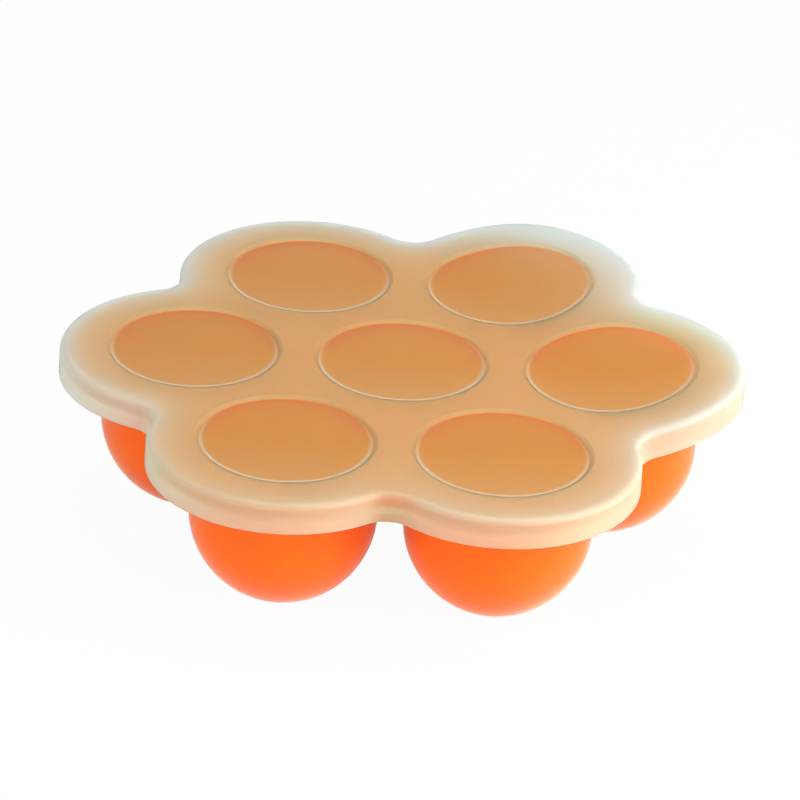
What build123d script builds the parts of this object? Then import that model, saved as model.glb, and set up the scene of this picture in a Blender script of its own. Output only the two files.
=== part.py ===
"""Freezer tray with seven round cups and a press-on lid, in millimetres, +Z up.

The tray is one soft silicone moulding: a flower-shaped deck with a rolled rim, and one cup in the
middle of six others. It stands on the small flats under its cups, at Z = 0. Its deck and its cups
are written as separate solids that meet face to face at the deck's underside, so that each keeps a
simple shape. The lid is one translucent plastic moulding: a flower-shaped web with a skirt around
the rim, and a shallow dished disc over each cup's mouth. It is thin and bends: its side over two
of the ring's cups isn't pressed home, and stands up a little from a straight fold between the
discs. The long axis, through two opposite cups, is X.
"""
from build123d import *
import math
import os

# Cups
ring_cups = 6            # cups around the middle one
cup_pitch = 66.0         # centre of the middle cup to the centre of each other cup
cup_radius = 29.1        # outside of the cup, and of its round bottom
cup_wall = 2.0           # silicone wall, also of the cup's floor
cup_straight = 23.3      # from the centre of the round bottom up to the deck
foot_radius = 8.0        # flat that each cup stands on
lip_round = 1.2          # rounded edge of the cup's mouth
root_round = 2.0         # fillet between the outside of the cup and the deck

# Deck and rim of the tray
deck_thickness = 2.2
rim_margin = 11.6        # from the outside of a cup to the outside of the rim
rim_height = 5.0         # from the deck's top down to the rim's lower edge
rim_width = 3.0
rim_round = 0.9          # rounded outer edges of the rim
tray_notch_radius = 11.9 # hollow curve between two lobes of the rim

# Lid
lid_wall = 1.2           # web and skirt
skirt_height = 9.6       # from the lid's top down to the skirt's lower edge
lid_round = 1.5          # rounded edge between the web and the skirt
bead_depth = 0.4         # snap bead, inwards from the skirt
bead_height = 1.2
bead_gap = 0.5           # from the rim's lower edge down to the bead
snap_clearance = 0.3     # between the rim and the bead as the lid comes off
disc_depth = 0.8         # how far each disc lies below the web
disc_step = 1.6          # width of the sloping step around the disc
disc_clearance = 0.5     # between the underside of the step and the cup's rounded mouth
free_lift = 5.2          # how far the edge of the side that isn't pressed home stands up, 0 if it is

# Heights
cup_centre_z = math.sqrt(cup_radius**2 - foot_radius**2)
deck_z = cup_centre_z + cup_straight
deck_underside_z = deck_z - deck_thickness
rim_low_z = deck_z - rim_height
lid_z = deck_z + lid_wall
skirt_low_z = lid_z - skirt_height
bead_top_z = rim_low_z - bead_gap

# Radii
cup_bore = cup_radius - cup_wall
mouth_radius = cup_bore + lip_round
rim_radius = cup_radius + rim_margin
skirt_offset = snap_clearance + bead_depth
step_angle = math.atan2(disc_depth, disc_step)
plug_radius = mouth_radius - disc_clearance
dish_radius = plug_radius + lid_wall * math.tan(step_angle / 2)

# Fold of the lid, halfway between the middle cup and the line of the two cups beyond it
free_turn = math.pi / ring_cups
free_cups_reach = cup_pitch * math.cos(free_turn)
fold_reach = free_cups_reach / 2
free_reach = free_cups_reach + rim_radius + skirt_offset + lid_wall


def cup_places():
    """Centre of each cup, the middle one first."""
    turns = [2 * math.pi * k / ring_cups for k in range(ring_cups)]
    around = [(cup_pitch * math.cos(t), cup_pitch * math.sin(t)) for t in turns]
    return [(0.0, 0.0)] + around


def flower(grow, z):
    """Face of the flower outline, `grow` outside the tray's rim: lobes joined by hollow curves."""
    half_turn = math.pi / ring_cups
    lobe = rim_radius + grow
    notch = tray_notch_radius - grow
    reach = cup_pitch * math.cos(half_turn)
    notch_centre = reach + math.sqrt((lobe + notch)**2 - (cup_pitch * math.sin(half_turn))**2)

    def polar(radius, turn):
        return Vector(radius * math.cos(turn), radius * math.sin(turn), z)

    edges = []
    for k in range(ring_cups):
        turn = 2 * k * half_turn
        centre = polar(cup_pitch, turn)
        before = polar(notch_centre, turn - half_turn)
        after = polar(notch_centre, turn + half_turn)
        start = centre + (before - centre).normalized() * lobe
        end = centre + (after - centre).normalized() * lobe
        next_centre = polar(cup_pitch, turn + 2 * half_turn)
        next_start = next_centre + (after - next_centre).normalized() * lobe
        edges.append(ThreePointArc(start, polar(cup_pitch + lobe, turn), end))
        edges.append(ThreePointArc(end, polar(notch_centre - notch, turn + half_turn), next_start))
    return Face(Wire(edges))


def flower_slab(grow, low_z, high_z):
    """Flower-shaped plate between two heights."""
    return extrude(flower(grow, low_z), amount=high_z - low_z, dir=(0, 0, 1))


def round_cup(radius, floor_z, top_z):
    """Solid of revolution: a flat floor, a round bottom and a straight wall."""
    floor_radius = math.sqrt(radius**2 - (cup_centre_z - floor_z)**2)
    halfway = math.atan2(cup_centre_z - floor_z, floor_radius) / 2
    floor_edge = (floor_radius, 0, floor_z)
    shoulder = (radius, 0, cup_centre_z)
    bulge = (radius * math.cos(halfway), 0, cup_centre_z - radius * math.sin(halfway))
    profile = Wire([
        Line((0, 0, floor_z), floor_edge),
        ThreePointArc(floor_edge, bulge, shoulder),
        Line(shoulder, (radius, 0, top_z)),
        Line((radius, 0, top_z), (0, 0, top_z)),
        Line((0, 0, top_z), (0, 0, floor_z)),
    ])
    return revolve(Face(profile), axis=Axis.Z)


def circles_at(shape, z, radius):
    """Round edges of the given radius that lie at the height z."""
    found = shape.edges().filter_by(GeomType.CIRCLE)
    return [e for e in found if abs(e.center().Z - z) < 1e-4 and abs(e.radius - radius) < 1e-4]


def outline_edges(shape, z, grow):
    """Edges of one flower outline at the height z."""
    lobe = rim_radius + grow
    notch = tray_notch_radius - grow
    return circles_at(shape, z, lobe) + circles_at(shape, z, notch)


def make_deck():
    """Deck with the cups' rounded mouths, and its rim."""
    deck = flower_slab(0, rim_low_z, deck_z)
    deck = fillet(outline_edges(deck, deck_z, 0) + outline_edges(deck, rim_low_z, 0), rim_round)
    deck -= flower_slab(-rim_width, rim_low_z, deck_underside_z)
    for x, y in cup_places():
        deck -= Pos(x, y, deck_z) * Cylinder(cup_bore, 2 * deck_thickness)
    return fillet(circles_at(deck, deck_z, cup_bore), lip_round)


def make_cup():
    """Cup below the deck's underside, at the origin, with its root flared out to the deck."""
    collar_z = deck_underside_z - root_round
    collar = Pos(0, 0, deck_underside_z - root_round / 2) * Cylinder(cup_radius + root_round, root_round)
    groove = Torus(cup_radius + root_round, root_round)
    cup = round_cup(cup_radius, 0, deck_underside_z) + collar - Pos(0, 0, collar_z) * groove
    return cup - round_cup(cup_bore, cup_wall, deck_underside_z)


def make_flat_lid():
    """Web, skirt and snap bead, pressed home all round and still without the discs."""
    inside = flower_slab(skirt_offset, skirt_low_z, deck_z)
    lid = flower_slab(skirt_offset + lid_wall, skirt_low_z, lid_z)
    lid = fillet(outline_edges(lid, lid_z, skirt_offset + lid_wall), lid_round)
    lid -= inside
    bead = flower_slab(skirt_offset + lid_wall / 2, bead_top_z - bead_height, bead_top_z)
    bead -= flower_slab(snap_clearance, bead_top_z - bead_height, bead_top_z)
    return lid + bead


def make_lid():
    """Lid with its free side turned up about a line in its top, and a dished disc over each cup."""
    lid = make_flat_lid()
    outwards = Vector(math.cos(free_turn), math.sin(free_turn), 0)
    along_fold = Vector(math.sin(free_turn), -math.cos(free_turn), 0)
    start = outwards * fold_reach + Vector(0, 0, lid_z)
    fold = Plane(origin=start, x_dir=along_fold, z_dir=outwards)
    hinge = Axis(start, along_fold)
    angle = math.degrees(math.asin(free_lift / (free_reach - fold_reach)))
    if free_lift > 0:
        held_side = split(lid, bisect_by=fold, keep=Keep.BOTTOM)
        free_side = split(lid, bisect_by=fold, keep=Keep.TOP).rotate(hinge, angle)
        wedge = revolve(section(lid, section_by=fold), axis=hinge, revolution_arc=angle)
        lid = held_side + wedge + free_side
    plug = Pos(0, 0, deck_z - disc_depth / 2) * Cone(plug_radius - disc_step, plug_radius, disc_depth)
    dish = Pos(0, 0, lid_z - disc_depth / 2) * Cone(dish_radius - disc_step, dish_radius, disc_depth)
    for x, y in cup_places():
        beyond_fold = outwards.dot(Vector(x, y, 0)) > fold_reach
        turn = angle if beyond_fold else 0
        lid += (Pos(x, y) * plug).rotate(hinge, turn)
        lid -= (Pos(x, y) * dish).rotate(hinge, turn)
    return lid


os.makedirs("parts", exist_ok=True)
export_step(make_deck(), "parts/tray_deck.step")
export_step(make_lid(), "parts/lid.step")
for number, (x, y) in enumerate(cup_places()):
    export_step(Pos(x, y) * make_cup(), f"parts/tray_cup_{number}.step")
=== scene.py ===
"""Freezer tray: a soft silicone tray with seven round cups and a translucent press-on lid.

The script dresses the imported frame. Both mouldings are worked out again as smooth surfaces, from
the sizes below, and given the finish of moulded silicone and of frosted polypropylene.
"""
import math

import bmesh
import bpy
import numpy as np
from mathutils import Matrix, Vector


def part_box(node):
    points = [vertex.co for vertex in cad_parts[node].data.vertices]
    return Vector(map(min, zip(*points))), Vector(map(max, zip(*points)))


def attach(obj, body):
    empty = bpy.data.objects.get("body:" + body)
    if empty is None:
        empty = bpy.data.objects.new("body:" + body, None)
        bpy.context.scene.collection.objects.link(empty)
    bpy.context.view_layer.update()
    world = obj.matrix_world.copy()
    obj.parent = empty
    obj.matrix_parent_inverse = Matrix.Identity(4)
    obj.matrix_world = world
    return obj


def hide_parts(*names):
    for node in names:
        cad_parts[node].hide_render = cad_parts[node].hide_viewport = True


bl_info = {
    "name": "Freezer Tray",
    "version": (1, 0, 0),
    "blender": (4, 5, 0),
    "location": "View3D > Sidebar > Freezer Tray",
    "description": "Builds a silicone freezer tray with round cups and a translucent press-on lid",
    "category": "Add Mesh",
}

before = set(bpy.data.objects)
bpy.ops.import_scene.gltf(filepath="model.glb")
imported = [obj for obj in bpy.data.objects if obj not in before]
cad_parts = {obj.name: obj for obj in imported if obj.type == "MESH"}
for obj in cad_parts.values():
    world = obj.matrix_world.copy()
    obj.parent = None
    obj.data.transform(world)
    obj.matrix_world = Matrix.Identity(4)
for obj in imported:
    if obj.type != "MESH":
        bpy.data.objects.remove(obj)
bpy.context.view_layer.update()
MM = 0.001
RUN = 1 * MM                # flat or straight run at either end of a profile
LID_WALL = 1.2              # mm, and not m as the lengths below
DECK_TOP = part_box("tray_deck")[1][2]
RIM_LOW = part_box("tray_deck")[0][2]
LID_TOP = DECK_TOP + LID_WALL * MM
SKIRT_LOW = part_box("lid")[0][2]
TRAY_NODES = [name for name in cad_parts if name.startswith("tray_")]
RING_CUPS = sum(name.startswith("tray_cup_") for name in TRAY_NODES) - 1
MERGE_WITHIN = 2e-6         # m, between points that are made one
GRAIN_DEPTH = 0.1 * MM      # height of the moulds' grain in the materials' bump

# Steps along half of the border of an outer cup's patch: on the lobe, on the notch, along the line
# to the next cup's patch, and along the line to the middle cup's patch
BORDER_STEPS = (30, 8, 24, 10)

# Where the profiles of the cup's mouth and of its root end on the deck, in radii of their arcs
MOUTH_END, ROOT_END = 2.0, 1.3

# Points of a disc's floor, as shares of its radius: those on its crown, and the one that ends it
DISC_SPOTS = (0, 0.3, 0.55, 0.75, 0.85, 0.92, 0.95)
DISC_END = 0.965

FLOOR_SIDE = 4.0            # m
FLOOR_WHITE = 0.96          # share of the floor's look that is plain white, and takes no shadow
SKY_HORIZON, SKY_ABOVE = 1.0, 0.25
SKY_FADE = (0.3, 0.42)      # sines of the heights between which the sky gets darker

# Name, place in metres, side in metres and power in watts of each lamp
PANELS = (("right_panel", (0.6, -0.28, 0.48), 0.6, 7.8),
          ("front_panel", (-0.5, -0.8, 0.7), 0.8, 5.0),
          ("top_panel", (0.0, 0.4, 1.3), 0.8, 4.3),
          ("side_panel", (0.9, 0.0, 0.1), 0.5, 3.0))


def length(name, description, millimetres):
    """A length that the sidebar shows, with its default in millimetres."""
    return bpy.props.FloatProperty(name=name, description=description, default=millimetres * MM,
                                   unit="LENGTH", precision=5)


def factor(name, description, value):
    """A plain share or factor that the sidebar shows."""
    return bpy.props.FloatProperty(name=name, description=description, default=value,
                                   subtype="FACTOR", soft_min=0.0, soft_max=max(1.0, value))


def degrees(name, description, value):
    """An angle that the sidebar shows, with its default in degrees."""
    return bpy.props.FloatProperty(name=name, description=description, default=math.radians(value),
                                   subtype="ANGLE")


def linear(hex_colour):
    """Linear red, green and blue of an sRGB hex colour: each channel by the sRGB curve."""
    srgb = np.array([int(hex_colour[i:i + 2], 16) / 255 for i in (1, 3, 5)])
    curve = np.where(srgb <= 0.04045, srgb / 12.92, ((srgb + 0.055) / 1.055) ** 2.4)
    return tuple(float(channel) for channel in curve)


def colour(name, description, hex_colour):
    """A colour that the sidebar shows, with its default as an sRGB hex value."""
    return bpy.props.FloatVectorProperty(name=name, description=description, subtype="COLOR",
                                         size=3, default=linear(hex_colour), min=0.0, max=1.0)


class TraySizes(bpy.types.PropertyGroup):
    """Sizes of the silicone tray."""
    cup_pitch: length("Cup pitch", "Centre of the middle cup to the centre of each other cup", 66.0)
    cup_radius: length("Cup radius", "Outside radius of a cup and of its round bottom", 29.1)
    cup_wall: length("Cup wall", "Thickness of the silicone in the cups", 2.0)
    foot_radius: length("Foot radius", "Radius of the flat that each cup stands on", 8.0)
    lip_round: length("Lip round", "Radius of the rounded edge of a cup's mouth", 1.2)
    root_round: length("Root round", "Fillet between a cup's outside and the deck", 2.0)
    deck_thickness: length("Deck thickness", "Thickness of the deck between the cups", 2.2)
    rim_margin: length("Rim margin", "From the outside of a cup to the outside of the rim", 11.6)
    rim_width: length("Rim width", "Thickness of the rim, seen from above", 3.0)
    rim_round: length("Rim round", "Radius of the rim's outer edges", 0.9)
    rim_crease: length("Rim crease", "Radius of the rim's inner corners", 0.5)
    notch_radius: length("Notch radius", "Radius of the hollow curve between two lobes", 11.9)


class LidSizes(bpy.types.PropertyGroup):
    """Sizes of the plastic lid."""
    wall: length("Wall", "Thickness of the web and the skirt", LID_WALL)
    rim_gap: length("Rim gap", "Gap between the tray's rim and the skirt's inner side", 0.7)
    flare: length("Flare", "How much further out the skirt's lower edge stands", 0.25)
    edge_round: length("Edge round", "Radius of the edge between the web and the skirt", 2.2)
    bead_depth: length("Bead depth", "How far the snap bead stands in from the skirt", 0.4)
    bead_height: length("Bead height", "Height of the snap bead", 1.2)
    bead_gap: length("Bead gap", "From the rim's lower edge down to the snap bead", 0.5)
    bead_slope: length("Bead slope", "Height of the snap bead's sloping flanks", 0.3)
    bead_round: length("Bead round", "Radius of the snap bead's edges", 0.2)
    bead_crease: length("Bead crease", "Radius of the corners where the bead starts", 0.1)
    skirt_round: length("Skirt round", "Radius of the skirt's lower edges", 0.4)
    inner_round: length("Inner round", "Radius of the corner inside the skirt", 0.5)
    disc_depth: length("Disc depth", "How far each disc lies below the web", 0.8)
    disc_step: length("Disc step", "Width of the sloping step around each disc", 1.6)
    disc_gap: length("Disc gap", "Gap between the step's underside and the cup's mouth", 0.5)
    disc_crown: length("Disc crown", "How much the middle of each disc bulges up", 0.15)
    disc_round: length("Disc round", "Radius of the hollow corner around each disc's floor", 2.2)
    disc_edge: length("Disc edge", "Radius of the edge at the top of each disc's step", 0.5)
    seat_gap: length("Seat gap", "Air left between the tray's deck and the web", 0.12)
    lift: length("Lift", "How far the lid stands off the tray where it isn't pressed home", 4.8)
    lift_start: length("Lift start", "From the middle to where the lid starts to stand off", 36.0)
    lift_run: length("Lift run", "Length over which the lid rises to its full lift", 50.0)
    lift_turn: degrees("Lift direction", "Direction of the side that stands off, from +X", 25.0)


class LidShades(bpy.types.PropertyGroup):
    """Painted light on the lid: the orange light of the silicone, and paleness, painted on it.

    The share of painted orange light in the web and the skirt is the opposite of how milky they
    look: where there is none, the plastic shows its own milky colour. It and the paleness change
    from front to back and from left to right: painted light and shade from how the light falls.
    Right is +X and back is +Y. Where there is more at the right or at the back, there is as much
    less at the left or in front.
    """
    # The milky edge, where no orange light is painted: its width and milkiness change from front to
    # back and from left to right, which is painted light and shade
    edge_front: length("Edge width in front", "Width of the milky edge at the lid's front", 2.5)
    edge_back: length("Edge width behind", "Width of the milky edge at the lid's back", 6.0)
    edge_narrowing: factor("Edge narrowing", "How much narrower the edge is at the right", 0.25)
    milk: factor("Milk", "Milkiness of the very edge, halfway back", 0.6)
    milk_back: factor("Milk behind", "How much milkier the edge is at the back", 0.45)
    milk_right: factor("Milk at the right", "How much less milky the edge is at the right", 0.1)
    milk_least: factor("Least milk", "Least milkiness of the very edge", 0.2)
    milk_most: factor("Most milk", "Most milkiness of the very edge", 0.7)
    fade_reach: length("Fade reach", "Width over which the web's paler border fades out", 14.0)
    fade: factor("Fade", "Milkiness of the web's paler border", 0.35)
    fade_right: factor("Fade at the right", "How much milkier that border is at the right", 0.12)
    # Painted orange light on the skirt, from the silicone behind it: more in front, at the right
    # and beside the rim
    skirt: factor("Skirt cover", "Cover of the skirt below the tray's rim", 0.25)
    skirt_front: factor("Skirt in front", "How much more cover the skirt has in front", 0.2)
    skirt_right: factor("Skirt at the right", "How much more cover the skirt has at the right", 0.1)
    skirt_rim: factor("Skirt at the rim", "How much more cover the skirt has beside the rim", 0.35)
    skirt_start: length("Skirt start", "From the lid's top down to where that cover starts", 1.0)
    skirt_blend: length("Skirt blend", "Height over which the skirt's cover takes over", 2.5)
    rim_blend: length("Rim blend", "Height of the change of cover at the rim's lower edge", 3.0)
    # Painted light: less of the painted orange light at the back, where the lid stands off
    free_warmth_loss: factor("Free cover", "Loss of cover at the back where the lid stands off", 1.2)
    free_start: factor("Free start", "What is taken off that loss all along", 0.2)
    # A painted warm spot of orange light in the front notch
    notch_place: length("Notch place", "From the middle to the notch in front", 88.0)
    notch_reach: length("Notch reach", "Reach of the warmer spot in that notch", 7.0)
    notch_warmth: factor("Notch cover", "Share of the milkiness that the spot takes away", 0.5)
    # A painted warm band of orange light on each disc's step
    step_place: length("Step place", "From a disc's floor to the middle of its step", 1.1)
    step_reach: length("Step reach", "Half the width of the step's warmer shade", 0.8)
    step_warmth: factor("Step cover", "Share of the milkiness that the step takes away", 0.7)
    # A painted highlight: a pale ring around each disc's floor, stronger in front than behind
    ring_width: length("Ring width", "Half the width of the pale ring at a disc's edge", 0.75)
    ring_place: factor("Ring place", "From the floor's edge in to the ring, in half widths", 0.5)
    ring: factor("Ring", "Paleness of the ring at a disc's sides", 0.6)
    ring_front: factor("Ring in front", "How much paler the ring is in front of a disc", 0.8)
    # Painted paleness towards each disc's front, and on the rear discs where the lid stands off
    front_paleness: factor("Front haze", "Paleness of a disc's front edge", 0.3)
    free_paleness: factor("Free haze", "Paleness of the rear discs where the lid stands off", 0.6)
    # A painted orange glow just inside each disc's rear edge
    glow_reach: length("Glow reach", "How far in a disc's rear edge shows the silicone", 3.0)
    glow_gap: length("Glow gap", "From the floor's edge in to where the glow starts", 0.3)
    glow_turn: factor("Glow turn", "How fast the glow grows towards a disc's rear", 2.5)
    disc_border: length("Disc border", "How far outside a disc's floor the frosting starts", 0.1)


class Finishes(bpy.types.PropertyGroup):
    """Colours of the two mouldings, and the light painted on the lid."""
    silicone: colour("Silicone", "Colour of the tray's silicone", "#FF680A")
    skirt: colour("Skirt", "Colour of the lid's plastic at its free edges", "#F4FFFC")
    # Painted light: the warm tint stands in for the orange light of the silicone seen through the
    # plastic
    web: colour("Web", "Colour of the lid's plastic where it lies on the tray", "#F8F2AC")
    # Painted light: the orange stands in for the cup seen through each disc
    disc: colour("Disc", "Colour of the lid's smoother discs", "#FCB42E")
    # Painted highlight: the pale ring is light caught in the hollow corner around each disc's
    # floor, drawn into the colour
    ring: colour("Ring", "Colour of the thicker ring around each disc", "#E8CEA0")
    # Painted light: the orange glow just inside each disc's rear edge
    glow: colour("Glow", "Colour of a disc close to the silicone behind it", "#FF7A20")


class StageSettings(bpy.types.PropertyGroup):
    """Camera."""
    azimuth: degrees("Azimuth", "Direction that the camera looks along, from +Y towards -X", 0.78)
    elevation: degrees("Elevation", "Height of the camera above the horizon", 27.74)
    roll: degrees("Roll", "Turn of the camera about its own axis", 3.35)
    distance: length("Distance", "From the camera to the point it aims at", 1212.2)
    aim_x: length("Aim across", "How far right of the middle the camera aims", 0.1)
    aim_y: length("Aim depth", "How far behind the middle the camera aims", -27.8)
    focal: bpy.props.FloatProperty(name="Focal length", description="On a frame 36 mm wide",
                                   default=175.536, unit="CAMERA")


def rounded(corners, steps=4):
    """Profile through (across, height, radius) corners, each rounded by an arc of its radius.

    An arc starts and ends radius times the tangent of half the turn from its corner, and its points
    are the circle's centre plus radius times cosine and sine of evenly spaced angles.
    """
    corners = np.array(corners, float)
    points, radii = corners[:, :2], corners[:, 2]
    parts = [points[:1]]
    for before, here, after, radius in zip(points[:-2], points[1:-1], points[2:], radii[1:-1]):
        into = (here - before) / np.linalg.norm(here - before)
        out = (after - here) / np.linalg.norm(after - here)
        turn = math.atan2(into[0] * out[1] - into[1] * out[0], float(into @ out))
        if radius == 0 or abs(turn) < 1e-6:
            parts.append(here[None])
            continue
        side = math.copysign(1.0, turn)
        start = here - into * radius * math.tan(abs(turn) / 2)
        centre = start + side * radius * np.array([-into[1], into[0]])
        angles = math.atan2(*(start - centre)[::-1]) + np.linspace(0, turn, steps + 1)
        parts.append(centre + radius * np.stack([np.cos(angles), np.sin(angles)], 1))
    parts.append(points[-1:])
    return np.concatenate(parts)


def bowl(radius, centre_z, floor_z, flat_spot=0.6, steps=16):
    """Profile from the middle of a flat floor, along a circle's arc, to the start of the wall.

    flat_spot places one more point on the flat, as a share of the flat's radius.
    """
    floor_angle = math.asin((centre_z - floor_z) / radius)
    angles = np.linspace(-floor_angle, 0, steps + 1)
    arc = np.stack([radius * np.cos(angles), centre_z + radius * np.sin(angles)], 1)
    edge = arc[0, 0]
    return np.concatenate([[[0.0, floor_z], [edge * flat_spot, floor_z]], arc])


def half_border(tray, grow):
    """Half of the border of one outer cup's patch, as seen from the cup's centre with +X outwards.

    It runs from the lobe's tip along the lobe's circle, then half of the notch's circle, then
    straight along the line halfway to the next cup, then along the line halfway to the middle cup.
    Returns the points and, for those on the outline, the outward normals.
    """
    half_turn = math.pi / RING_CUPS
    lobe = tray.cup_radius + tray.rim_margin + grow
    notch = tray.notch_radius - grow
    reach = tray.cup_pitch * math.cos(half_turn)
    across = tray.cup_pitch * math.sin(half_turn)
    notch_reach = reach + math.sqrt((lobe + notch) ** 2 - across ** 2)
    ray = np.array([math.cos(half_turn), math.sin(half_turn)])
    lobe_centre = np.array([tray.cup_pitch, 0.0])
    notch_centre = notch_reach * ray - lobe_centre
    tangent = math.atan2(notch_centre[1], notch_centre[0])
    on_lobe = np.linspace(0, tangent, BORDER_STEPS[0] + 1)
    on_notch = np.linspace(tangent + math.pi, half_turn + math.pi, BORDER_STEPS[1] + 1)[1:]
    lobe_rays = np.stack([np.cos(on_lobe), np.sin(on_lobe)], 1)
    notch_rays = np.stack([np.cos(on_notch), np.sin(on_notch)], 1)
    corner = reach / math.cos(half_turn) ** 2 * 0.5 * ray
    side = np.linspace(0, 1, BORDER_STEPS[2] + 1)[1:, None]
    middle = np.linspace(0, 1, BORDER_STEPS[3] + 1)[1:, None]
    notch_bottom = (notch_reach - notch) * ray
    edge_middle = np.array([tray.cup_pitch / 2, 0.0])
    points = np.concatenate([
        lobe * lobe_rays,
        notch_centre + notch * notch_rays,
        notch_bottom + side * (corner - notch_bottom) - lobe_centre,
        corner + middle * (edge_middle - corner) - lobe_centre,
    ])
    return points, np.concatenate([lobe_rays, -notch_rays])


def around(half):
    """Full run from a half: its mirror image across X, backwards, then the half itself."""
    return np.concatenate([(half * [1, -1])[:0:-1], half])


def grid_faces(rows, columns, first, closed):
    """Corner numbers of the faces of a grid whose rows close on themselves or not."""
    row = np.arange(rows - 1)[:, None] * columns
    column = np.arange(columns if closed else columns - 1)[None]
    a = first + row + column
    b = first + row + (column + 1) % columns
    return np.stack([a, b, b + columns, a + columns], -1).reshape(-1, 4)


def sheet_patch(profile, border, rows=4):
    """Cup-centred profile turned about the cup, then spread straight out to the patch's border.

    A point of the turned part is radius times the direction of its border point, and a point of the
    spread part is a weighted mean of the last turned point and the border point.
    """
    directions = border / np.linalg.norm(border, axis=1, keepdims=True)
    turned = profile[:, 0, None, None] * directions[None]
    share = np.linspace(0, 1, rows + 1)[1:, None, None]
    spread = turned[-1] * (1 - share) + border[None] * share
    plan = np.concatenate([turned, spread])
    height = np.concatenate([profile[:, 1], np.full(rows, profile[-1, 1])])
    height = np.broadcast_to(height[:, None, None], plan.shape[:2] + (1,))
    return np.concatenate([plan, height], 2)


def rim_patch(profile, outline, normals):
    """Profile carried along the outline: each point goes out along the outline's normal."""
    plan = outline[None] + profile[:, 0, None, None] * normals[None]
    height = np.broadcast_to(profile[:, 1, None, None], plan.shape[:2] + (1,))
    return np.concatenate([plan, height], 2)


def moulding(name, tray, top, rim, under):
    """Closed surface of a moulding: each cup's patch on top and below, joined by the rim's profile.

    top and under are cup-centred profiles from the axis outwards. rim is a profile of (offset from
    the tray's outline, height), from the top sheet's edge to the under sheet's edge.
    """
    top_half, normals_half = half_border(tray, rim[0, 0])
    under_half, _ = half_border(tray, rim[-1, 0])
    outline_half, _ = half_border(tray, 0.0)
    on_rim = len(normals_half)
    top_border, under_border = around(top_half)[:-1], around(under_half)[:-1]
    outer = [(sheet_patch(top, top_border), True), (sheet_patch(under, under_border), True),
             (rim_patch(rim, around(outline_half[:on_rim]), around(normals_half)), False)]
    corner, edge = top_half[-1 - BORDER_STEPS[3]], top_half[-1]
    half_side = np.linspace(0, 1, BORDER_STEPS[3] + 1)[:, None] * (corner - edge) + edge
    hexagon_side = around(half_side)[:-1] + [tray.cup_pitch, 0.0]
    turns = 2 * math.pi * np.arange(RING_CUPS) / RING_CUPS
    spins = np.stack([[np.cos(turns), np.sin(turns)], [-np.sin(turns), np.cos(turns)]])
    spins = spins.transpose(2, 0, 1)
    hexagon = np.concatenate([hexagon_side @ spin for spin in spins])
    patches = [(sheet_patch(top, hexagon), True), (sheet_patch(under, hexagon), True)]
    for spin in spins:
        for patch, closed in outer:
            plan = (patch[..., :2] + [tray.cup_pitch, 0.0]) @ spin
            patches.append((np.concatenate([plan, patch[..., 2:]], 2), closed))
    vertices, faces, first = [], [], 0
    for patch, closed in patches:
        rows, columns = patch.shape[:2]
        faces.append(grid_faces(rows, columns, first, closed))
        vertices.append(patch.reshape(-1, 3))
        first += rows * columns
    return merged_mesh(name, np.concatenate(vertices), np.concatenate(faces))


def cup_offset(points, tray):
    """Offset, seen from above, of each point from the nearest cup's axis, and its length."""
    turns = 2 * math.pi * np.arange(RING_CUPS) / RING_CUPS
    centres = tray.cup_pitch * np.stack([np.cos(turns), np.sin(turns)], 1)
    centres = np.concatenate([np.zeros((1, 2)), centres])
    offsets = points[:, None, :2] - centres[None]
    lengths = np.linalg.norm(offsets, axis=2)
    nearest = lengths.argmin(1)
    rows = np.arange(len(points))
    return offsets[rows, nearest], lengths[rows, nearest]


def outline_distance(points, tray):
    """Signed distance, seen from above, of each point from the tray's outline, positive outside.

    Each point is first folded into the wedge between a lobe's tip and the next notch. There it is
    the distance from the lobe's centre less the lobe's radius, or past the line between the two
    centres the notch's radius less the distance from the notch's centre.
    """
    half_turn = math.pi / RING_CUPS
    angle = np.arctan2(points[:, 1], points[:, 0])
    angle = np.abs((angle + half_turn) % (2 * half_turn) - half_turn)
    folded = np.stack([np.cos(angle), np.sin(angle)], 1)
    folded *= np.hypot(points[:, 0], points[:, 1])[:, None]
    lobe, notch = tray.cup_radius + tray.rim_margin, tray.notch_radius
    across = tray.cup_pitch * math.sin(half_turn)
    reach = tray.cup_pitch * math.cos(half_turn) + math.sqrt((lobe + notch) ** 2 - across ** 2)
    lobe_centre = np.array([tray.cup_pitch, 0.0])
    notch_centre = reach * np.array([math.cos(half_turn), math.sin(half_turn)])
    line, arm = notch_centre - lobe_centre, folded - lobe_centre
    past = line[0] * arm[:, 1] - line[1] * arm[:, 0] > 0
    return np.where(past, notch - np.linalg.norm(folded - notch_centre, axis=1),
                    np.linalg.norm(arm, axis=1) - lobe)


def vertex_array(mesh):
    """Points of a mesh as rows of x, y and z."""
    points = np.empty(len(mesh.vertices) * 3)
    mesh.vertices.foreach_get("co", points)
    return points.reshape(-1, 3)


def merged_mesh(name, vertices, faces):
    """Object from points and faces, with the points that coincide merged and its faces outwards."""
    mesh = bpy.data.meshes.new(name)
    mesh.from_pydata(vertices.tolist(), [], faces.tolist())
    build = bmesh.new()
    build.from_mesh(mesh)
    bmesh.ops.remove_doubles(build, verts=build.verts, dist=MERGE_WITHIN)
    bmesh.ops.recalc_face_normals(build, faces=build.faces)
    build.to_mesh(mesh)
    build.free()
    mesh.polygons.foreach_set("use_smooth", np.ones(len(mesh.polygons), bool))
    piece = bpy.data.objects.new(name, mesh)
    bpy.context.scene.collection.objects.link(piece)
    return piece


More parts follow.
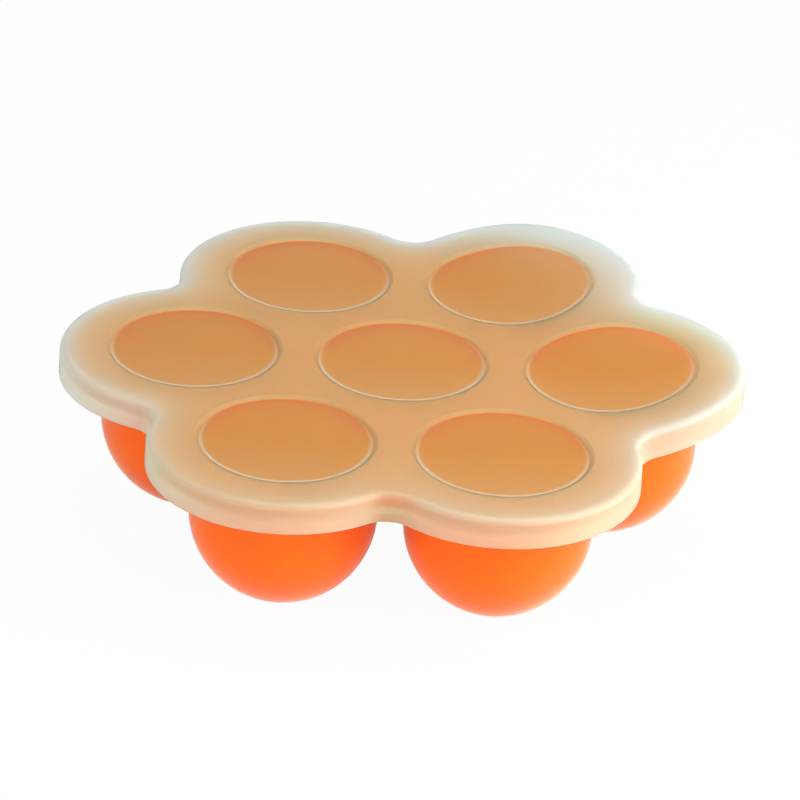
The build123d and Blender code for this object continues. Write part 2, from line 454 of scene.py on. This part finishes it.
def add_node(tree, kind, links=(), **settings):
    """Adds a node, sets its named properties or its inputs, and links (socket, input) pairs."""
    node = tree.nodes.new(kind)
    for key, value in settings.items():
        if hasattr(node, key):
            setattr(node, key, value)
        else:
            node.inputs[key.replace("_", " ")].default_value = value
    for socket, target in links:
        tree.links.new(socket, node.inputs[target])
    return node


def new_material(name):
    """Material without nodes yet, and its node tree."""
    material = bpy.data.materials.new(name)
    material.use_nodes = True
    material.node_tree.nodes.clear()
    return material, material.node_tree


def pattern_scale(millimetres):
    """Noise scale in object space, per metre, that draws features of the given size."""
    return 1 / (millimetres * MM)


def grain_bump(tree, place, millimetres, strength):
    """Socket of the normals of a moulded grain: noise, raised by up to the grain's depth."""
    grain = add_node(tree, "ShaderNodeTexNoise", [(place, "Vector")],
                     Scale=pattern_scale(millimetres), Detail=2.0)
    return add_node(tree, "ShaderNodeBump", [(grain.outputs["Fac"], "Height")],
                    Strength=strength, Distance=GRAIN_DEPTH).outputs["Normal"]


def mixed_colour(tree, share, first, second):
    """Socket of first times (1 - share) plus second times share; each is a colour or a socket.

    In the mix node the colours are inputs 6 and 7, and output 2.
    """
    node = add_node(tree, "ShaderNodeMix", [(share, "Factor")], data_type="RGBA")
    for target, value in ((6, first), (7, second)):
        if isinstance(value, bpy.types.NodeSocket):
            tree.links.new(value, node.inputs[target])
        else:
            node.inputs[target].default_value = (*value, 1)
    return node.outputs[2]


def moulded_silicone(finishes):
    """Platinum-cured silicone rubber, compression moulded in a bead-blasted steel mould.

    The blasting leaves a fine grain, which takes the shine off. Light goes a few millimetres into
    the rubber, which softens its shadows and gives a warm bloom where it is seen edge-on. Handling
    and washing leave broad patches that are a little more or less matt.
    """
    material, tree = new_material("moulded_silicone")
    place = add_node(tree, "ShaderNodeTexCoord").outputs["Object"]
    # The real grain is about 0.2 mm: it is drawn coarser, at 1.1 mm, so that it doesn't flicker
    normal = grain_bump(tree, place, 1.11, 0.1)
    cloud = add_node(tree, "ShaderNodeTexNoise", [(place, "Vector")], Scale=pattern_scale(33.3),
                     Detail=2.0)
    rough = add_node(tree, "ShaderNodeMapRange", [(cloud.outputs["Fac"], "Value")],
                     To_Min=0.46, To_Max=0.58)
    shader = add_node(tree, "ShaderNodeBsdfPrincipled",
                      [(rough.outputs["Result"], "Roughness"), (normal, "Normal")],
                      Base_Color=(*finishes.silicone, 1), IOR=1.41, Specular_IOR_Level=0.25,
                      Sheen_Weight=0.9, Sheen_Roughness=0.33,
                      Sheen_Tint=(1.0, 0.85, 0.7, 1), Subsurface_Weight=0.2,
                      Subsurface_Radius=(1.0, 0.35, 0.15), Subsurface_Scale=0.003)
    add_node(tree, "ShaderNodeOutputMaterial", [(shader.outputs[0], "Surface")])
    return material


def frosted_polypropylene(finishes):
    """Natural polypropylene, injection moulded in a blasted mould: milky and matt.

    Frosting scatters what is behind the plastic. Where it lies on the silicone, the orange light
    seen through it is painted into its colour as a warm tint, and the plastic is made clearer
    there; at its free edges it shows its own milk-white colour.
    """
    material, tree = new_material("frosted_polypropylene")
    place = add_node(tree, "ShaderNodeTexCoord").outputs["Object"]
    # The real grain is about 0.2 mm: it is drawn coarser, at 1.4 mm, so that it doesn't flicker
    normal = grain_bump(tree, place, 1.43, 0.15)
    painted_warmth = add_node(tree, "ShaderNodeAttribute", attribute_name="painted_warmth").outputs["Fac"]
    # Painted light: the warm tint of the silicone's orange light, and a clearer plastic, by its
    # painted share
    shade = mixed_colour(tree, painted_warmth, finishes.skirt, finishes.web)
    clear = add_node(tree, "ShaderNodeMapRange", [(painted_warmth, "Value")], To_Min=0.7, To_Max=0.92)
    shader = add_node(tree, "ShaderNodeBsdfPrincipled",
                      [(shade, "Base Color"), (normal, "Normal"),
                       (clear.outputs["Result"], "Transmission Weight")],
                      Roughness=0.5, IOR=1.49)
    add_node(tree, "ShaderNodeOutputMaterial", [(shader.outputs[0], "Surface")])
    return material


def smooth_polypropylene(finishes):
    """The same plastic from a smoother, ground part of the mould: clearer, with a soft gloss.

    The orange of the cup seen through each disc is painted into its colour. On it lie a painted
    highlight ring around its floor, painted paleness towards its front and where the lid stands
    off, and a painted orange glow just inside its rear edge; where it is painted pale, it is made
    less clear.
    """
    material, tree = new_material("smooth_polypropylene")
    place = add_node(tree, "ShaderNodeTexCoord").outputs["Object"]
    # Faint grinding marks, drawn as coarse as the frosting's grain
    normal = grain_bump(tree, place, 1.43, 0.05)
    painted_paleness = add_node(tree, "ShaderNodeAttribute", attribute_name="painted_paleness").outputs["Fac"]
    glow = add_node(tree, "ShaderNodeAttribute", attribute_name="glow").outputs["Fac"]
    share = add_node(tree, "ShaderNodeMapRange", [(glow, "Value")], To_Max=0.7)
    # Painted light: the disc's orange, the painted glow at its rear edge and the painted pale ring
    # on top
    warm = mixed_colour(tree, share.outputs["Result"], finishes.disc, finishes.glow)
    shade = mixed_colour(tree, painted_paleness, warm, finishes.ring)
    clear = add_node(tree, "ShaderNodeMapRange", [(painted_paleness, "Value")], To_Min=0.64, To_Max=0.45)
    shader = add_node(tree, "ShaderNodeBsdfPrincipled",
                      [(shade, "Base Color"), (normal, "Normal"),
                       (clear.outputs["Result"], "Transmission Weight")],
                      Roughness=0.4, IOR=1.49, Coat_Weight=1.0, Coat_Roughness=0.12)
    add_node(tree, "ShaderNodeOutputMaterial", [(shader.outputs[0], "Surface")])
    return material


class FREEZER_TRAY_OT_tray(bpy.types.Operator):
    """Builds the silicone tray"""
    bl_idname = "freezer_tray.tray"
    bl_label = "Silicone Tray"

    def execute(self, context):
        tray = context.scene.freezer_tray_sizes
        centre_z = math.sqrt(tray.cup_radius ** 2 - tray.foot_radius ** 2)
        bore = tray.cup_radius - tray.cup_wall
        under_z = DECK_TOP - tray.deck_thickness
        top = np.concatenate([
            bowl(bore, centre_z, tray.cup_wall),
            rounded([(bore, centre_z + RUN, 0), (bore, DECK_TOP, tray.lip_round),
                     (bore + MOUTH_END * tray.lip_round, DECK_TOP, 0)]),
        ])
        under = np.concatenate([
            bowl(tray.cup_radius, centre_z, 0.0),
            rounded([(tray.cup_radius, centre_z + RUN, 0),
                     (tray.cup_radius, under_z, tray.root_round),
                     (tray.cup_radius + ROOT_END * tray.root_round, under_z, 0)]),
        ])
        inner = -tray.rim_width
        rim = rounded([
            (-2 * RUN, DECK_TOP, 0), (0, DECK_TOP, tray.rim_round), (0, RIM_LOW, tray.rim_round),
            (inner, RIM_LOW, tray.rim_crease), (inner, under_z, tray.rim_crease),
            (inner - RUN, under_z, 0),
        ])
        piece = moulding("silicone_tray", tray, top, rim, under)
        piece.data.materials.append(moulded_silicone(context.scene.freezer_tray_finishes))
        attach(piece, "tray")
        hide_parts(*TRAY_NODES)
        return {"FINISHED"}


class FREEZER_TRAY_OT_lid(bpy.types.Operator):
    """Builds the translucent lid"""
    bl_idname = "freezer_tray.lid"
    bl_label = "Press-on Lid"

    def execute(self, context):
        scene = context.scene
        tray, lid = scene.freezer_tray_sizes, scene.freezer_lid_sizes
        shade, finishes = scene.freezer_lid_shades, scene.freezer_tray_finishes
        plug = tray.cup_radius - tray.cup_wall + tray.lip_round - lid.disc_gap
        slope = math.atan2(lid.disc_depth, lid.disc_step)
        dish = plug + lid.wall * math.tan(slope / 2)
        under_z = LID_TOP - lid.wall + lid.seat_gap

        def disc(radius, web_z):
            """Profile of a dished disc, with a parabola, 1 - share of radius squared, as crown."""
            floor = radius - lid.disc_step
            spots = np.array(DISC_SPOTS)[:, None] * floor
            crown = lid.disc_crown * (1 - (spots / floor) ** 2)
            middle = np.concatenate([spots, web_z - lid.disc_depth + crown], 1)
            return np.concatenate([middle, rounded([
                (floor * DISC_END, web_z - lid.disc_depth, 0),
                (floor, web_z - lid.disc_depth, lid.disc_round),
                (radius, web_z, lid.disc_edge), (radius + RUN, web_z, 0)], steps=6)])

        outer = lid.rim_gap + lid.wall
        inner = lid.rim_gap
        bead_top = RIM_LOW - lid.bead_gap
        bead_low = bead_top - lid.bead_height
        bead = inner - lid.bead_depth
        rim = rounded([
            (outer - lid.edge_round - RUN, LID_TOP, 0), (outer, LID_TOP, lid.edge_round),
            (outer + lid.flare, SKIRT_LOW, lid.skirt_round), (inner, SKIRT_LOW, lid.skirt_round),
            (inner, bead_low, lid.bead_crease), (bead, bead_low + lid.bead_slope, lid.bead_round),
            (bead, bead_top - lid.bead_slope, lid.bead_round), (inner, bead_top, lid.bead_crease),
            (inner, under_z, lid.inner_round), (inner - RUN, under_z, 0),
        ])
        piece = moulding("frosted_lid", tray, disc(dish, LID_TOP), rim, disc(plug, under_z))
        self.zone(piece.data, tray, lid, shade, dish - lid.disc_step)
        piece.data.materials.append(frosted_polypropylene(finishes))
        piece.data.materials.append(smooth_polypropylene(finishes))
        self.stand_off(piece.data, lid)
        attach(piece, "lid")
        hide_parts("lid")
        return {"FINISHED"}

    def lift(self, points, lid):
        """Height that each point gains: the lift times 3s^2 - 2s^3, at a share s of the run."""
        along = points[:, 0] * math.cos(lid.lift_turn) + points[:, 1] * math.sin(lid.lift_turn)
        share = np.clip((along - lid.lift_start) / lid.lift_run, 0, 1)
        return lid.lift * share ** 2 * (3 - 2 * share)

    def zone(self, mesh, tray, lid, shade, floor):
        """Gives the discs their smoother finish, and each point its painted light, from 0 to 1.

        Each point gets a share of painted orange light, a painted paleness and a painted glow. The
        painted orange light gets less where the lid stands off at the back. A painted warm spot in
        the front notch and a painted warm band on each disc's step add to it, by exp(-distance
        squared).
        """
        points = vertex_array(mesh)
        back = np.clip(points[:, 1] / points[:, 1].max(), -1, 1)
        side = np.clip(points[:, 0] / points[:, 0].max(), -1, 1)
        free = self.lift(points, lid) / max(lid.lift, MM)
        offset, radius = cup_offset(points, tray)
        painted_warmth = self.painted_warmth(points, tray, shade, back, side)
        # Painted light: less painted orange light at the back where the lid stands off
        painted_warmth *= 1 - free * np.clip(shade.free_warmth_loss * back - shade.free_start, 0, 1)
        # A painted warm spot of orange light in the front notch
        notch = np.hypot(points[:, 0], points[:, 1] + shade.notch_place) / shade.notch_reach
        painted_warmth += shade.notch_warmth * np.exp(-notch ** 2) * (1 - painted_warmth)
        # A painted warm band of orange light on each disc's step
        step = (radius - floor - shade.step_place) / shade.step_reach
        painted_warmth += shade.step_warmth * np.exp(-step ** 2) * (1 - painted_warmth)
        painted_paleness, glow = self.painted_paleness_and_glow(offset, radius, shade, floor)
        # Painted paleness on the rear discs where the lid stands off
        painted_paleness = 1 - (1 - painted_paleness) * (1 - free * np.clip(shade.free_paleness * back, 0, 1))
        for name, values in (("painted_warmth", painted_warmth), ("painted_paleness", painted_paleness), ("glow", glow)):
            mesh.attributes.new(name, "FLOAT", "POINT").data.foreach_set("value", values)
        middles = np.empty(len(mesh.polygons) * 3)
        mesh.polygons.foreach_get("center", middles)
        in_disc = cup_offset(middles.reshape(-1, 3), tray)[1] < floor + shade.disc_border
        mesh.polygons.foreach_set("material_index", in_disc.astype(np.int32))

    def painted_warmth(self, points, tray, shade, back, side):
        """Share of painted orange light at each point of the web and the skirt, from 0 to 1.

        It stands in for the light of the silicone seen through the plastic. On the web it is 1 less
        two exponential decays of the distance inside the tray's outline, one short and one long,
        whose widths and strengths change from front to back and from left to right: painted light
        and shade from how the light falls. Down the skirt it turns into the painted light beside
        the rim, then into the lower painted light below it, both stronger in front and at the
        right.
        """
        inside = np.clip(-outline_distance(points, tray), 0, None)
        # Painted light and shade: the edge's width and milkiness change with front, back, left and
        # right
        width = shade.edge_front + (shade.edge_back - shade.edge_front) * (0.5 + 0.5 * back)
        width = width * (1 - shade.edge_narrowing * side)
        milk = shade.milk + shade.milk_back * back - shade.milk_right * side
        milk = np.clip(milk, shade.milk_least, shade.milk_most)
        fade = shade.fade + shade.fade_right * side
        painted_warmth = 1 - milk * np.exp(-inside / width) - fade * np.exp(-inside / shade.fade_reach)
        painted_warmth = np.clip(painted_warmth, 0, 1)
        drop = np.clip((LID_TOP - points[:, 2] - shade.skirt_start) / shade.skirt_blend, 0, 1)
        beside = np.clip((points[:, 2] - RIM_LOW) / shade.rim_blend + 0.5, 0, 1)
        # Painted orange light on the skirt, more in front and at the right
        skirt = shade.skirt - shade.skirt_front * back + shade.skirt_right * side
        skirt += shade.skirt_rim * beside
        return np.where(inside > 0, painted_warmth, painted_warmth + (skirt - painted_warmth) * drop)

    def painted_paleness_and_glow(self, offset, radius, shade, floor):
        """Painted paleness and painted orange glow of each point of a disc, each from 0 to 1.

        The paleness is a painted highlight ring around the floor, flat-topped, exp(-distance to the
        fourth), stronger in front than behind, joined with a painted pale band that grows with the
        distance in front of the disc's axis. The glow is painted orange light, which decays
        exponentially from the floor's rear edge inwards, at the disc's rear only.
        """
        behind = offset[:, 1] / np.maximum(radius, MM)
        # Painted highlight ring, stronger in front than behind
        ring = np.exp(-((radius - floor) / shade.ring_width + shade.ring_place) ** 4)
        ring *= np.clip(shade.ring - shade.ring_front * behind, 0, 1)
        # Painted paleness that grows towards each disc's front
        front = shade.front_paleness * np.clip(-offset[:, 1] / floor, 0, 1)
        # Painted orange glow inside each disc's rear edge
        glow = np.exp((radius - floor) / shade.glow_reach) * (radius < floor - shade.glow_gap)
        glow *= np.clip(shade.glow_turn * behind, 0, 1)
        return 1 - (1 - ring) * (1 - front), glow

    def stand_off(self, mesh, lid):
        """Bends the lid up on the side that isn't pressed home."""
        points = vertex_array(mesh)
        points[:, 2] += self.lift(points, lid)
        mesh.vertices.foreach_set("co", points.ravel())
        mesh.update()


class FREEZER_TRAY_OT_stage(bpy.types.Operator):
    """Sets up the floor, the lights and the camera"""
    bl_idname = "freezer_tray.stage"
    bl_label = "Stage"

    def execute(self, context):
        scene, stage = context.scene, context.scene.freezer_tray_stage
        self.camera(scene, stage)
        self.floor(scene)
        self.lights(scene)
        scene.view_settings.view_transform = "Standard"
        return {"FINISHED"}

    def camera(self, scene, stage):
        """Camera that looks down at its aim point on the lid's top."""
        back = Vector((0, -math.cos(stage.elevation), math.sin(stage.elevation)))
        right = Vector((1, 0, 0))
        up = back.cross(right)
        turned_right = right * math.cos(stage.roll) + up * math.sin(stage.roll)
        turned_up = up * math.cos(stage.roll) - right * math.sin(stage.roll)
        place = Matrix((turned_right, turned_up, back)).transposed().to_4x4()
        place.translation = Vector((stage.aim_x, stage.aim_y, LID_TOP)) + back * stage.distance
        data = bpy.data.cameras.new("camera")
        data.sensor_width = 36.0
        data.lens = stage.focal
        data.clip_end = 20.0
        camera = bpy.data.objects.new("camera", data)
        camera.matrix_world = Matrix.Rotation(stage.azimuth, 4, "Z") @ place
        scene.collection.objects.link(camera)
        scene.camera = camera

    def floor(self, scene):
        """Pale matt floor that shows white where no shadow falls."""
        side = np.array([-1, 1, 1, -1]) * FLOOR_SIDE / 2
        mesh = bpy.data.meshes.new("floor")
        corners = np.stack([side, np.roll(side, 1), side * 0], 1)
        mesh.from_pydata(corners.tolist(), [], [(0, 3, 2, 1)])
        floor = bpy.data.objects.new("floor", mesh)
        scene.collection.objects.link(floor)
        material, tree = new_material("pale_floor")
        matt = add_node(tree, "ShaderNodeBsdfDiffuse", Color=(0.8, 0.8, 0.8, 1))
        glow = add_node(tree, "ShaderNodeEmission", Color=(1, 1, 1, 1), Strength=1.0)
        rays = add_node(tree, "ShaderNodeLightPath").outputs
        seen = add_node(tree, "ShaderNodeMath", operation="MAXIMUM",
                        links=[(rays["Is Camera Ray"], 0), (rays["Is Glossy Ray"], 1)])
        seen = add_node(tree, "ShaderNodeMath", operation="MAXIMUM",
                        links=[(seen.outputs[0], 0), (rays["Is Transmission Ray"], 1)])
        share = add_node(tree, "ShaderNodeMath", [(seen.outputs[0], 0)], operation="MULTIPLY")
        share.inputs[1].default_value = FLOOR_WHITE
        mixed = add_node(tree, "ShaderNodeMixShader", [(share.outputs[0], 0), (matt.outputs[0], 1),
                                                       (glow.outputs[0], 2)])
        add_node(tree, "ShaderNodeOutputMaterial", [(mixed.outputs[0], "Surface")])
        mesh.materials.append(material)

    def lights(self, scene):
        """White room, brightest at its horizon, with large soft panels around and over the tray."""
        world = bpy.data.worlds.new("white_room")
        world.use_nodes = True
        tree = world.node_tree
        tree.nodes.clear()
        direction = add_node(tree, "ShaderNodeTexCoord").outputs["Generated"]
        height = add_node(tree, "ShaderNodeSeparateXYZ", [(direction, "Vector")]).outputs["Z"]
        fade = add_node(tree, "ShaderNodeMapRange", [(height, "Value")],
                        interpolation_type="SMOOTHSTEP", From_Min=SKY_FADE[0],
                        From_Max=SKY_FADE[1], To_Min=SKY_HORIZON, To_Max=SKY_ABOVE)
        sky = add_node(tree, "ShaderNodeBackground", [(fade.outputs["Result"], "Strength")],
                       Color=(1, 1, 1, 1))
        add_node(tree, "ShaderNodeOutputWorld", [(sky.outputs[0], "Surface")])
        scene.world = world
        for name, place, size, power in PANELS:
            data = bpy.data.lights.new(name, "AREA")
            data.size = size
            data.energy = power
            lamp = bpy.data.objects.new(name, data)
            lamp.location = place
            lamp.rotation_euler = Vector(place).to_track_quat("Z", "Y").to_euler()
            scene.collection.objects.link(lamp)


class FREEZER_TRAY_PT_panel(bpy.types.Panel):
    """Lists the sizes, the colours and the buttons"""
    bl_label = "Freezer Tray"
    bl_space_type = "VIEW_3D"
    bl_region_type = "UI"
    bl_category = "Freezer Tray"

    def draw(self, context):
        for pointer, group in GROUPS.items():
            box = self.layout.box()
            for name in group.__annotations__:
                box.prop(getattr(context.scene, pointer), name)
        for operator in OPERATORS:
            self.layout.operator(operator.bl_idname)


OPERATORS = (FREEZER_TRAY_OT_stage, FREEZER_TRAY_OT_tray, FREEZER_TRAY_OT_lid)
GROUPS = {"freezer_tray_sizes": TraySizes, "freezer_lid_sizes": LidSizes,
          "freezer_lid_shades": LidShades, "freezer_tray_finishes": Finishes,
          "freezer_tray_stage": StageSettings}


def register():
    """Adds the settings, the buttons and the panel to Blender."""
    for group in GROUPS.values():
        bpy.utils.register_class(group)
    for name, group in GROUPS.items():
        setattr(bpy.types.Scene, name, bpy.props.PointerProperty(type=group))
    for kind in (*OPERATORS, FREEZER_TRAY_PT_panel):
        bpy.utils.register_class(kind)


def unregister():
    """Takes them out again."""
    for kind in (FREEZER_TRAY_PT_panel, *OPERATORS):
        bpy.utils.unregister_class(kind)
    for name in GROUPS:
        delattr(bpy.types.Scene, name)
    for group in GROUPS.values():
        bpy.utils.unregister_class(group)


def main():
    """Builds the scene."""
    register()
    bpy.ops.freezer_tray.stage()
    bpy.ops.freezer_tray.tray()
    bpy.ops.freezer_tray.lid()


if __name__ == "__main__":
    main()
